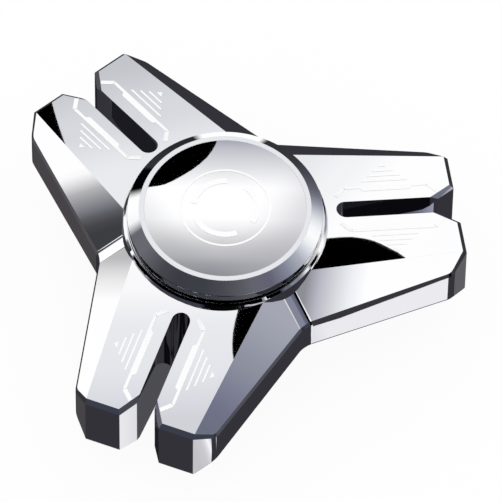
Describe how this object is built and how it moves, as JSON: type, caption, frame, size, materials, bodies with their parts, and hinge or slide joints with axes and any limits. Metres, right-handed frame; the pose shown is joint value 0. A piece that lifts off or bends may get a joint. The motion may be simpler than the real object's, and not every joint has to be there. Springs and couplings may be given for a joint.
{
  "type": "fidget spinner",
  "caption": "Three-armed faceted metal spinner with slotted, fork-like arms, turning on a ball bearing between two round finger caps.",
  "frame": {"origin": "centre of the lower cap's flat face, which the spinner stands on, on the spin axis", "axes": "+Z is the spin axis, up from the lower cap to the upper cap; +X runs out along the middle of one arm"},
  "size_m": [0.0476, 0.054, 0.0193],
  "materials": {
    "body_chrome": "mirror-polished chrome plate over cast zinc alloy",
    "cap_chrome": "mirror-polished chrome plate",
    "disc_chrome": "mirror-polished",
    "bearing_steel": "ground bearing steel",
    "ball_steel": "polished ball steel",
    "dark_steel": "black oxide",
    "brass": "plain brass"
  },
  "bodies": {
    "caps": {"cap_upper": "cap_chrome", "cap_lower": "cap_chrome", "cap_disc_upper": "disc_chrome", "cap_disc_lower": "disc_chrome", "axle_stud": "dark_steel", "spacer_washer_upper": "brass", "spacer_washer_lower": "brass", "bearing_inner_ring": "bearing_steel"},
    "spinner_body": {"body": "body_chrome", "bearing_lock_ring": "dark_steel", "bearing_outer_ring": "bearing_steel", "bearing_shield_upper": "bearing_steel", "bearing_shield_lower": "bearing_steel", "bearing_snap_ring_upper": "dark_steel", "bearing_snap_ring_lower": "dark_steel"},
    "ball_cage": {"bearing_cage": "brass"},
    "ball_01": {"bearing_ball_01": "ball_steel"},
    "ball_02": {"bearing_ball_02": "ball_steel"},
    "ball_03": {"bearing_ball_03": "ball_steel"},
    "ball_04": {"bearing_ball_04": "ball_steel"},
    "ball_05": {"bearing_ball_05": "ball_steel"},
    "ball_06": {"bearing_ball_06": "ball_steel"},
    "ball_07": {"bearing_ball_07": "ball_steel"},
    "ball_08": {"bearing_ball_08": "ball_steel"},
    "ball_09": {"bearing_ball_09": "ball_steel"},
    "ball_10": {"bearing_ball_10": "ball_steel"}
  },
  "joints": [
    {"name": "body_spin", "type": "hinge", "parent": "caps", "child": "spinner_body", "pos_m": [0, 0, 0.00965], "axis": [0, 0, 1], "continuous": true},
    {"name": "cage_orbit", "type": "hinge", "parent": "caps", "child": "ball_cage", "pos_m": [0, 0, 0.00965], "axis": [0, 0, 1], "continuous": true},
    {"name": "ball_01_roll", "type": "hinge", "parent": "ball_cage", "child": "ball_01", "pos_m": [0.00476, 0, 0.00965], "axis": [0, 0, 1], "continuous": true},
    {"name": "ball_02_roll", "type": "hinge", "parent": "ball_cage", "child": "ball_02", "pos_m": [0.00385, 0.0028, 0.00965], "axis": [0, 0, 1], "continuous": true},
    {"name": "ball_03_roll", "type": "hinge", "parent": "ball_cage", "child": "ball_03", "pos_m": [0.00147, 0.00453, 0.00965], "axis": [0, 0, 1], "continuous": true},
    {"name": "ball_04_roll", "type": "hinge", "parent": "ball_cage", "child": "ball_04", "pos_m": [-0.00147, 0.00453, 0.00965], "axis": [0, 0, 1], "continuous": true},
    {"name": "ball_05_roll", "type": "hinge", "parent": "ball_cage", "child": "ball_05", "pos_m": [-0.00385, 0.0028, 0.00965], "axis": [0, 0, 1], "continuous": true},
    {"name": "ball_06_roll", "type": "hinge", "parent": "ball_cage", "child": "ball_06", "pos_m": [-0.00476, 0, 0.00965], "axis": [0, 0, 1], "continuous": true},
    {"name": "ball_07_roll", "type": "hinge", "parent": "ball_cage", "child": "ball_07", "pos_m": [-0.00385, -0.0028, 0.00965], "axis": [0, 0, 1], "continuous": true},
    {"name": "ball_08_roll", "type": "hinge", "parent": "ball_cage", "child": "ball_08", "pos_m": [-0.00147, -0.00453, 0.00965], "axis": [0, 0, 1], "continuous": true},
    {"name": "ball_09_roll", "type": "hinge", "parent": "ball_cage", "child": "ball_09", "pos_m": [0.00147, -0.00453, 0.00965], "axis": [0, 0, 1], "continuous": true},
    {"name": "ball_10_roll", "type": "hinge", "parent": "ball_cage", "child": "ball_10", "pos_m": [0.00385, -0.0028, 0.00965], "axis": [0, 0, 1], "continuous": true}
  ],
  "couplings": [
    {"joint": "cage_orbit", "follows": "body_spin", "ratio": 0.58333},
    {"joint": "ball_01_roll", "follows": "body_spin", "ratio": 2.9167},
    {"joint": "ball_02_roll", "follows": "body_spin", "ratio": 2.9167},
    {"joint": "ball_03_roll", "follows": "body_spin", "ratio": 2.9167},
    {"joint": "ball_04_roll", "follows": "body_spin", "ratio": 2.9167},
    {"joint": "ball_05_roll", "follows": "body_spin", "ratio": 2.9167},
    {"joint": "ball_06_roll", "follows": "body_spin", "ratio": 2.9167},
    {"joint": "ball_07_roll", "follows": "body_spin", "ratio": 2.9167},
    {"joint": "ball_08_roll", "follows": "body_spin", "ratio": 2.9167},
    {"joint": "ball_09_roll", "follows": "body_spin", "ratio": 2.9167},
    {"joint": "ball_10_roll", "follows": "body_spin", "ratio": 2.9167}
  ]
}
